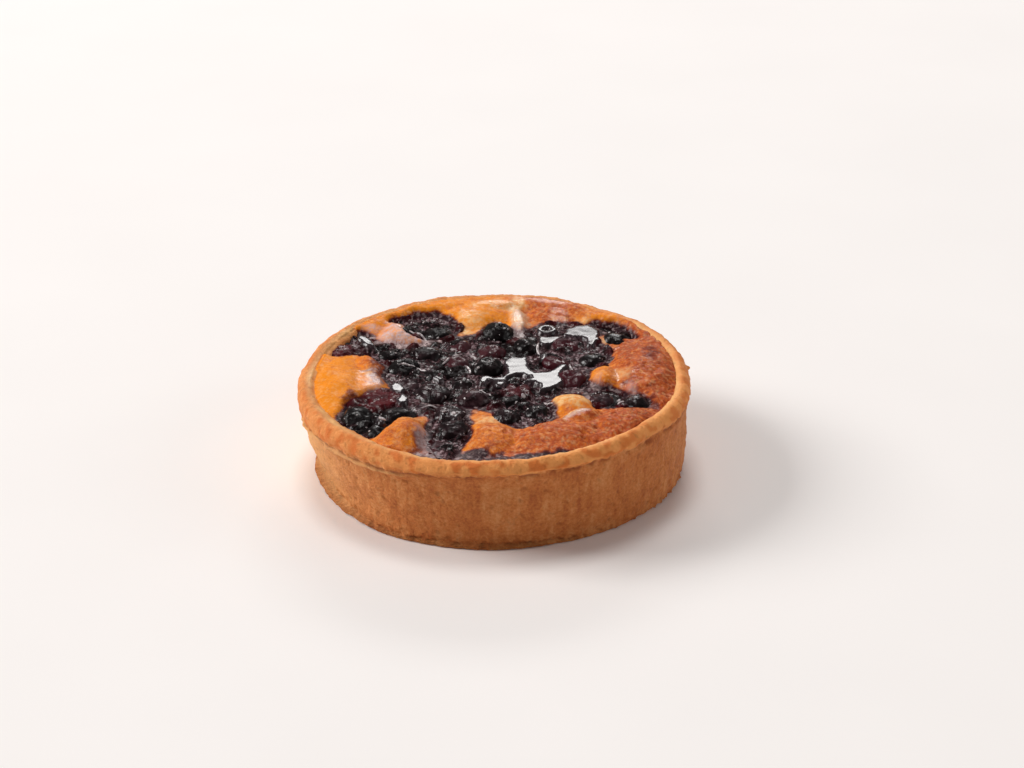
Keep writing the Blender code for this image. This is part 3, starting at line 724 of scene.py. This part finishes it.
# where the glaze lies thick enough to shine: the same, then its height where it lies level
wetPatches = {
    "backGlare": (0.5, 41, 6.5, 2.2, 0, 0.9, 25.6),
    "backTongue": (6.8, 30, 1.9, 11, 2, 0.9, 24.8),
    "backRight": (17.5, 35.5, 2.6, 5, 0, 0.8, 0),
    "backRim": (14, 42.5, 9, 1.4, -18, 0.9, 24.9),
    "backYellow": (-6.5, 36, 3, 3, 0, 0.5, 0),
    "leftInner": (-30.2, -3, 3.2, 7, 10, 0.8, 24.7),
    "crescentEdge": (20, -24.8, 4.4, 1.6, 20, 1, 0),
    "upperLeft": (-23, 27, 1.3, 7, 38, 0.9, 25),
    "rightHump": (32.5, -3.5, 3.6, 4, 0, 1, 0),
    "rightTop": (33.5, 14, 3, 3, 0, 0.6, 0),
}


def ellipseFrame(x, y, place):
    turn = math.radians(place[4])
    across = (x - place[0]) * math.cos(turn) + (y - place[1]) * math.sin(turn)
    along = (y - place[1]) * math.cos(turn) - (x - place[0]) * math.sin(turn)
    return across / place[2], along / place[3]


def ellipseShare(x, y, place):
    return np.hypot(*ellipseFrame(x, y, place))


def shoreDistance(x, y):
    # distance outside the pools, below zero inside; neighbours run together and the edge is ragged
    total = np.zeros_like(x)
    for pool in pools.values():
        across, along = ellipseFrame(x, y, pool)
        share = np.hypot(across, along)
        steep = np.maximum(np.hypot(across / pool[2], along / pool[3]), 1e-3)
        away = np.maximum(share * (share - 1) / steep, -min(pool[2], pool[3]))
        total += np.exp(-away / sponge["shoreBlend"])
    places = np.stack([x, y, np.zeros_like(x)], 1)
    ragged = lumps(places, sponge["shoreWobble"]) + lumps(places, sponge["shoreCrumble"])
    return sponge["lap"] + ragged - sponge["shoreBlend"] * np.log(np.maximum(total, 1e-30))


def patchAt(x, y, patches):
    ragged = lumps(np.stack([x, y, np.zeros_like(x)], 1), patchEdge["ragged"])
    total = np.zeros_like(x)
    for patch in patches.values():
        share = smooth(patchEdge["start"] - patchEdge["steep"] * ellipseShare(x, y, patch) + ragged)
        total = np.maximum(total, patch[5] * share)
    return total


def humpRise(x, y):
    # rise of the humps, and how brown they are
    rise = np.zeros_like(x)
    brown = np.zeros_like(x)
    weight = np.full_like(x, 1e-6)
    for hump in humps.values():
        share = ellipseShare(x, y, hump)
        rise = np.maximum(rise, hump[5] * (1 - np.minimum(share, 1) ** 2) ** 1.5)
        near = np.exp(-share**2 * sponge["humpBlend"])
        brown += near * hump[6]
        weight += near
    return rise, brown / weight


def spongeTop(x, y):
    places = np.stack([x, y, np.zeros_like(x)], 1)
    rise, brown = humpRise(x, y)
    away = shoreDistance(x, y)
    wet = patchAt(x, y, wetPatches)
    crumbly = (sponge["paleCrumb"] + sponge["brownCrumb"] * brown) * (1 - sponge["wetCrumb"] * wet)
    crumbly *= smooth(0.3 + away / sponge["shoulder"])
    fine = crumbly * (lumps(places, sponge["crumbs"]) + lumps(places, sponge["fineCrumbs"]))
    pores = spots(places, sponge["pores"]) * smooth((brown - sponge["poreBrown"]) / sponge["poreFade"])
    pores *= 1 - wet
    back = smooth(sponge["backSpread"] + np.cos(np.arctan2(y, x) - sponge["backAngle"]))
    back *= smooth((np.hypot(x, y) - sponge["backRadius"]) / sponge["backFade"])
    puffed = sponge["edgeHeight"] + np.maximum(rise, back * sponge["backRise"])
    puffed += lumps(places, sponge["rough"]) + fine - sponge["poreDepth"] * pores
    for patch in wetPatches.values():
        if patch[6]:
            level = smooth(sponge["levelStart"] - patchEdge["steep"] * ellipseShare(x, y, patch))
            puffed += (patch[6] - puffed) * level * sponge["levelShare"]
    low = jam["level"] + jam["raise"] - sponge["shoreDrop"]
    top = low + (puffed - low) * smooth(0.2 + away / sponge["shoulder"])
    top -= sponge["basin"] * smooth((-away - sponge["basinStart"]) / sponge["basinReach"])
    return top, away, brown, pores, wet


def wallRadiusAt(height):
    (edge, edgeHeight), (below, belowHeight) = innerWall()[:2]
    return below + (edge - below) * (height - belowHeight) / (edgeHeight - belowHeight)


def makeSponge():
    edge = wallRadiusAt(sponge["edgeHeight"]) + sponge["wallOverlap"]
    columns = sponge["sides"]
    angles = [math.tau * side / columns for side in range(columns)]
    reach = edge * np.arange(1, sponge["rings"] + 1) / sponge["rings"]
    top = [[baked(radius, angle, sponge["edgeHeight"])[:2] for angle in angles] for radius in reach]
    x, y = np.array(top).reshape(-1, 2).T
    height, away, brown, pores, wet = spongeTop(x, y)
    grid = np.stack([x, y, height + cup["rimTilt"] * x], 1)
    skirt = [[baked(radius + sponge["skirtOverlap"], angle, level) for angle in angles]
             for radius, level in innerWall()[1:]]
    centre = (*baked(0, 0, sponge["edgeHeight"])[:2], jam["level"] - sponge["basin"])
    foot = baked(0, 0, cup["floorThickness"])
    points = np.concatenate([grid, np.array(skirt).reshape(-1, 3), [centre, foot]])
    rows = len(reach) + len(skirt)
    faces = gridFaces(rows, columns)
    last, low = len(points) - 2, (rows - 1) * columns
    for column in range(columns):
        after = (column + 1) % columns
        faces.append((last, column, after))
        faces.append((last + 1, low + after, low + column))
    hidden = np.zeros(len(points) - len(x))
    shore = smooth(1.3 - away / sponge["shoulder"]) * smooth(away + 1)
    margin = sponge["seep"] * smooth(1 - away / sponge["seepWidth"])
    # toast: the humps' browning, plus painted shade in the pores, minus paler shores
    marks = {"toast": brown + sponge["poreShade"] * pores - sponge["shorePale"] * shore, "wet": wet,
             "stain": np.maximum(patchAt(x, y, juiceStains), margin),
             "hazeAndGlare": patchAt(x, y, juiceFilmsAndGlare), "creamAndGlare": patchAt(x, y, creamAndGlarePatches)}
    marks = {name: np.concatenate([values, hidden]) for name, values in marks.items()}
    piece = newMesh("almondSponge", points, faces, bakedAlmondSponge(), marks)
    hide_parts("almond_filling")
    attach(piece, "root")
    print("sponge made:", len(points), "points")


berry = {
    "squash": 0.8, "swell": 1.02, "sink": 0.5, "subdivisions": 4, "lean": math.radians(75), "seed": 7,
    "crownAngle": 0.38, "crownWidth": 0.1, "crownRise": 0.3, "crownPit": 0.7, "crownLobes": 5,
    "lobeDepth": 0.25, "usualRadius": 4.4,                  # of the berry that crown and wave are sized for
    "softWave": (1.1, 0.7), "folds": (3.6, 0.45, 70), "wrinkles": (1.5, 0.2, 80),
    "dent": 1.3, "limpFrom": 0.45, "limpSpan": 0.35,        # how limp a berry is before it dents
    "burst": {(9.4, 0.8): 0.35, (6.6, 9.5): 0.4, (11.9, -8.1): 0.55, (13.3, 25.6): 0.5},  # flat under glaze
}


def roundBall(subdivisions):
    model = bmesh.new()
    bmesh.ops.create_icosphere(model, subdivisions=subdivisions, radius=1)
    points = np.array([vertex.co for vertex in model.verts])
    faces = [[vertex.index for vertex in face.verts] for face in model.faces]
    model.free()
    return points, faces


def berryNodes():
    # each berry's node, middle and radius
    found = []
    for name in sorted(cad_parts):
        if name.startswith("blueberry_"):
            low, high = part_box(name)
            place = (low + high) / 2 / mm + Vector((*middle, 0))
            half = (high - low) / 2 / mm
            found.append((name, place, max(half.x, half.y)))
    return found


def makeBerries():
    skin = glazedBlueberrySkin()
    draw = random.Random(berry["seed"])
    ways, faces = roundBall(berry["subdivisions"])
    polar = np.arccos(np.clip(ways[:, 2], -1, 1))
    around = np.arctan2(ways[:, 1], ways[:, 0])
    lobes = 1 - berry["lobeDepth"] * (1 - np.cos(berry["crownLobes"] * around))
    crown = berry["crownRise"] * band(polar, berry["crownAngle"], berry["crownWidth"]) * lobes
    crown -= berry["crownPit"] * smooth(1 - polar / berry["crownAngle"])
    made = []
    for number, (name, place, radius) in enumerate(berryNodes(), start=1):
        lean, heading = draw.uniform(0, berry["lean"]), draw.uniform(0, math.tau)
        limp, ripe, layer = draw.random(), draw.random(), draw.uniform(0, 50)
        tilt = np.array((draw.uniform(-0.5, 0.5), draw.uniform(-0.5, 0.5), 1))
        turn = np.array(Euler((lean, 0, heading)).to_matrix().transposed())
        burst = [squash for spot, squash in berry["burst"].items() if math.dist(place[:2], spot) < radius / 2]
        flat = np.array((1, 1, burst[0] if burst else berry["squash"]))
        centre = np.array(place) - np.array((0, 0, berry["sink"]))
        ball = ways * radius @ turn * flat + centre
        sunk = berry["dent"] * smooth((limp - berry["limpFrom"]) / berry["limpSpan"])
        sunk *= smooth((ways @ turn @ tilt - 0.5) / 0.6)
        soft = lumps(ways, (*berry["softWave"], layer, 1))
        reach = radius * berry["swell"] + (crown + soft) * radius / berry["usualRadius"] - sunk
        reach -= puckers(ball, berry["folds"])
        reach -= puckers(ball, berry["wrinkles"])
        points = ways * reach[:, None] @ turn * flat + centre
        piece = newMesh(f"blueberry{number:02d}", points, faces, skin, {"ripe": np.full(len(points), ripe)})
        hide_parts(name)
        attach(piece, "root")
        made.append(piece)
    print("berries made:", len(made))
    return made


# the jam is full of sunken berries: it lies in low wrinkled domes, and level where glaze covers it
jamRelief = {
    "domes": (5.6, 90), "domeRise": 1.5, "domeLevel": 0.6,      # size and layer of the domes
    "wrinkles": (1.5, 0.34, 80), "crumbs": (0.8, 0.22, 63, 1), "redSmooth": 0.8, "redRise": 0.8,
    "thin": 0.6, "thinReach": 2, "dive": 4, "diveStart": 0.6, "diveReach": 2, "edge": 2.6,
    "redPatches": {"left": (-27.5, -12.5, 6.5, 6.5, 0, 1), "tongue": (6.6, 21, 2, 2.5, 0, 0.8),
                   "rimLeft": (-38.5, 17, 3.5, 4.5, 30, 0.7), "middle": (6, -9, 4, 4, 0, 0.6)},
    # dark jam, and painted shade in the deep holes between berries
    "darkAndShadePatches": {"back": (5, 18.5, 5.5, 5.5, 0, 1), "middle": (-10, 5.5, 6, 5, 0, 0.8),
                    "backLeft": (-15, 25.5, 6, 5, 0, 0.8), "rightPair": (30, -13, 8, 5, 0, 1),
                    "leftLobe": (-30, -20, 6.5, 9, 0, 0.8), "rimRight": (31, 26.5, 8, 3.5, -42, 0.9)},
}


def insideOutline(x, y, outline):
    # distance to an outline: above zero inside it, below zero outside
    nearest = np.full_like(x, 1e6)
    inside = np.zeros(x.shape, bool)
    for (ax, ay), (bx, by) in zip(outline, outline[1:] + outline[:1]):
        wide, deep = bx - ax, by - ay
        along = np.clip(((x - ax) * wide + (y - ay) * deep) / (wide**2 + deep**2), 0, 1)
        nearest = np.minimum(nearest, np.hypot(x - ax - along * wide, y - ay - along * deep))
        inside ^= ((ay > y) != (by > y)) & (x < ax + wide * (y - ay) / (deep or 1e-9))
    return np.where(inside, nearest, -nearest)


def jamTop(x, y):
    relief = jamRelief
    away = shoreDistance(x, y)
    places = np.stack([x, y, np.full_like(x, jam["level"])], 1)
    red = patchAt(x, y, relief["redPatches"])
    level = jam["level"] + jam["raise"] + cup["rimTilt"] * x + relief["redRise"] * red
    dome = wrinkled(places, *relief["domes"])
    uneven = relief["domeRise"] * (dome - relief["domeLevel"]) - puckers(places, relief["wrinkles"])
    uneven += lumps(places, relief["crumbs"])
    height = level + uneven * (1 - relief["redSmooth"] * red)
    settled = glaze["height"] + lumps(places, glaze["ripple"])
    ragged = lumps(places, glaze["ragged"])
    fromRing = np.hypot(x - glaze["ring"][0], y - glaze["ring"][1])
    still = smooth(glaze["ringStart"] - np.abs(fromRing - glaze["ringRadius"]) / glaze["ringWidth"])
    height += (settled - height) * still
    for outline in glazePools.values():
        share = smooth((insideOutline(x, y, outline) + glaze["spread"] + ragged) / glaze["soft"])
        height += (settled - height) * share
        still = np.maximum(still, share)
    height -= relief["dive"] * smooth((away - relief["diveStart"]) / relief["diveReach"])
    thin = np.maximum(smooth(1 + away / relief["thinReach"]) * relief["thin"], red)
    # darker: dark jam, and painted shade in the deep holes
    darkAndShade = patchAt(x, y, relief["darkAndShadePatches"])
    return height, away, {"thin": thin, "still": still, "dome": dome, "darkAndShade": darkAndShade}


def makeJam():
    side = np.arange(-jam["half"], jam["half"] + jam["step"], jam["step"])
    columns = len(side)
    x, y = (a.ravel() for a in np.meshgrid(side, side))
    height, away, marks = jamTop(x, y)
    inside = ((away < jamRelief["edge"]) & (np.hypot(x, y) < jam["radius"])).reshape(columns, columns)
    whole = inside[:-1, :-1] & inside[1:, :-1] & inside[:-1, 1:] & inside[1:, 1:]
    corner = np.nonzero(whole)[0] * columns + np.nonzero(whole)[1]
    quads = np.stack([corner, corner + 1, corner + columns + 1, corner + columns], 1)
    used, order = np.unique(quads, return_inverse=True)
    faces = [tuple(face) for face in order.reshape(quads.shape).tolist()]
    count = len(used)
    edges = {(a, b) for face in faces for a, b in zip(face, face[1:] + face[:1])}
    rim = [(b, a, count + a, count + b) for a, b in edges if (b, a) not in edges]
    under = [tuple(count + c for c in reversed(face)) for face in faces]
    top = np.stack([x[used], y[used], height[used]], 1)
    low = top * np.array((1, 1, 0))
    low[:, 2] = np.minimum(jam["level"] - jam["depth"], top[:, 2] - jam["least"])
    piece = newMesh("blueberryJam", np.concatenate([top, low]), faces + under + rim, setBlueberryJam(),
                    {name: np.tile(values[used], 2) for name, values in marks.items()})
    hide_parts("berry_jam", "berry_jam_right")
    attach(piece, "root")
    print("jam made:", count, "points on top")
    return piece


def fruitSurface(fruit):
    # the fruit as one surface that glaze can be dropped on
    points, faces = [], []
    for piece in fruit:
        first = len(points)
        points += [vertex.co / mm + Vector((*middle, 0)) for vertex in piece.data.vertices]
        faces += [[first + corner for corner in face.vertices] for face in piece.data.polygons]
    return BVHTree.FromPolygons(points, faces)


def landing(surface, x, y):
    return surface.ray_cast(Vector((x, y, drops["fallFrom"])), Vector((0, 0, -1)))[:2]


def glazeThread(surface, start, end, bend):
    # a slim tube along the fruit, which spans the dips and thins out at its ends
    length = math.dist(start, end)
    count = max(round(length / threads["step"]), 4)
    share = np.linspace(0, 1, count + 1)
    way = np.subtract(end, start) / length
    across = np.array((-way[1], way[0], 0))
    line = np.outer(1 - share, start) + np.outer(share, end)
    line += np.outer(bend * np.sin(math.pi * share), across[:2])
    span = threads["span"]
    heights = [landing(surface, x, y)[0].z for x, y in line]
    heights = [max(heights[max(i - span, 0):i + span + 1]) for i in range(count + 1)]
    window = np.ones(2 * span + 1) / (2 * span + 1)
    centres = np.column_stack([line, np.convolve(np.pad(heights, span, "edge"), window, "valid")])
    slim = np.sin(math.pi * (threads["tip"] + (1 - 2 * threads["tip"]) * share)) ** threads["fullness"]
    turns = -math.tau * np.arange(threads["sides"]) / threads["sides"]
    ring = np.outer(np.cos(turns) * threads["width"] / 2, across)
    ring += np.outer(np.sin(turns) * threads["rise"], (0, 0, 1))
    points = (centres[:, None, :] + slim[:, None, None] * ring).reshape(-1, 3)
    sides = list(range(threads["sides"]))
    caps = [sides, [len(points) - threads["sides"] + side for side in reversed(sides)]]
    return points, gridFaces(count + 1, threads["sides"]) + caps


def glazeDrop(surface, x, y, size, spin, ball):
    # a flat drop that sits on the skin under it
    spot, normal = landing(surface, x, y)
    sizes = np.array((1, drops["slim"], drops["flat"])) * size
    turn = np.array(normal.to_track_quat("Z", "Y").to_matrix() @ Euler((0, 0, spin)).to_matrix())
    return ball * sizes @ turn.T + np.array(spot)


def makeGlaze(fruit):
    surface = fruitSurface(fruit)
    draw = random.Random(threads["seed"])
    blobs = []
    for start, end in glazeThreads.values():
        blobs.append(glazeThread(surface, start, end, draw.uniform(-1, 1) * threads["bend"]))
    ball, ballFaces = roundBall(drops["subdivisions"])
    bead, beadFaces = roundBall(drops["beadSubdivisions"])
    draw = random.Random(drops["seed"])
    # scattered small pale drops: glaze, and painted speckled highlights
    tries = [[draw.uniform(-1, 1) * drops["reach"] for axis in "xy"] for each in range(drops["tries"])]
    away, marks = jamTop(*np.array(tries).T)[1:]
    for (x, y), distance, still in zip(tries, away, marks["still"]):
        size, spin = draw.uniform(*drops["size"]), draw.uniform(0, math.tau)
        if distance < -drops["clear"] and not still:
            blobs.append((glazeDrop(surface, x, y, size, spin, ball), ballFaces))
    for x, y, size in glazeBeads.values():
        blobs.append((glazeDrop(surface, x, y, size, draw.uniform(0, math.tau), bead), beadFaces))
    points, faces = [], []
    for blob, blobFaces in blobs:
        faces += [[len(points) + corner for corner in face] for face in blobFaces]
        points += list(blob)
    piece = newMesh("glazeDrops", points, faces, glazeWithPaintedHighlights())
    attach(piece, "root")
    print("glaze made:", len(blobs), "threads and drops")


makeShell()
makeSponge()
makeGlaze([makeJam(), *makeBerries()])

focalPixels = 2352      # the lens, in pixels of a picture 1024 wide
studio = {
    "viewHeight": math.radians(28.1), "distance": 0.6, "lens": 82.7, "sensor": 36, "nearest": 0.01,
    # the tartlet sits left of and below the middle
    "aimRight": 18.3 / focalPixels, "aimUp": 74.9 / focalPixels,
    "floor": 6, "floorCuts": 24, "floorGap": 0.05,
    "roomStrength": 0.2, "roomColour": "#FFFDFC", "lampColour": "#FFFDFB", "lampTarget": (0, 0, 0.02),
}

# each softbox: direction in degrees (0 behind the tartlet, 90 on the right), height in degrees,
# distance, size and brightness
softboxes = {
    "key": (-80, 32, 4, (1.7, 1.7), 14),
    "window": (4, 30, 3, (1.5, 0.5), 8.5),
    "ceiling": (-10, 76, 4, (1.2, 1.2), 10),
    "fill": (98, 24, 4, (2.4, 1.6), 1.9),
}


def makeFloor():
    half, cuts = studio["floor"] / 2, studio["floorCuts"]
    side = np.linspace(-half, half, cuts + 1) / mm
    x, y = (a.ravel() for a in np.meshgrid(side, side))
    points = np.stack([x, y, np.full_like(x, -studio["floorGap"])], 1)
    corners = [row * (cuts + 1) + column for row in range(cuts) for column in range(cuts)]
    faces = [(i, i + 1, i + cuts + 2, i + cuts + 1) for i in corners]
    newMesh("studioFloor", points, faces, paleLaminate())


def addAimed(name, data, place, target):
    thing = bpy.data.objects.new(name, data)
    bpy.context.scene.collection.objects.link(thing)
    thing.location = place
    thing.rotation_euler = (Vector(target) - Vector(place)).to_track_quat("-Z", "Y").to_euler()
    return thing


def addSoftbox(name, turn, rise, away, size, brightness):
    turn, rise = math.radians(turn), math.radians(rise)
    lamp = bpy.data.lights.new(name + "Softbox", "AREA")
    lamp.shape = "RECTANGLE"
    lamp.size, lamp.size_y = size
    lamp.energy = brightness * math.pi * size[0] * size[1]
    lamp.color = hexColour(studio["lampColour"])[:3]
    way = Vector((math.sin(turn) * math.cos(rise), math.cos(turn) * math.cos(rise), math.sin(rise)))
    addAimed(name + "Softbox", lamp, way * away, studio["lampTarget"])


def makeCamera():
    rise, away = studio["viewHeight"], studio["distance"]
    back = Vector((0, -math.cos(rise), math.sin(rise)))
    up = Vector((0, math.sin(rise), math.cos(rise)))
    target = Vector((studio["aimRight"] * away, 0, 0)) + up * studio["aimUp"] * away
    lens = bpy.data.cameras.new("studioCamera")
    lens.lens = studio["lens"]
    lens.sensor_width = studio["sensor"]
    lens.clip_start = studio["nearest"]
    bpy.context.scene.camera = addAimed("studioCamera", lens, back * away, target)


def makeLight():
    world = bpy.data.worlds.new("softRoom")
    bpy.context.scene.world = world
    world.use_nodes = True
    sky = world.node_tree.nodes["Background"]
    sky.inputs["Color"].default_value = hexColour(studio["roomColour"])
    sky.inputs["Strength"].default_value = studio["roomStrength"]
    for name, place in softboxes.items():
        addSoftbox(name, *place)
    bpy.context.scene.view_settings.view_transform = "Standard"


makeFloor()
makeCamera()
makeLight()
print("studio made")
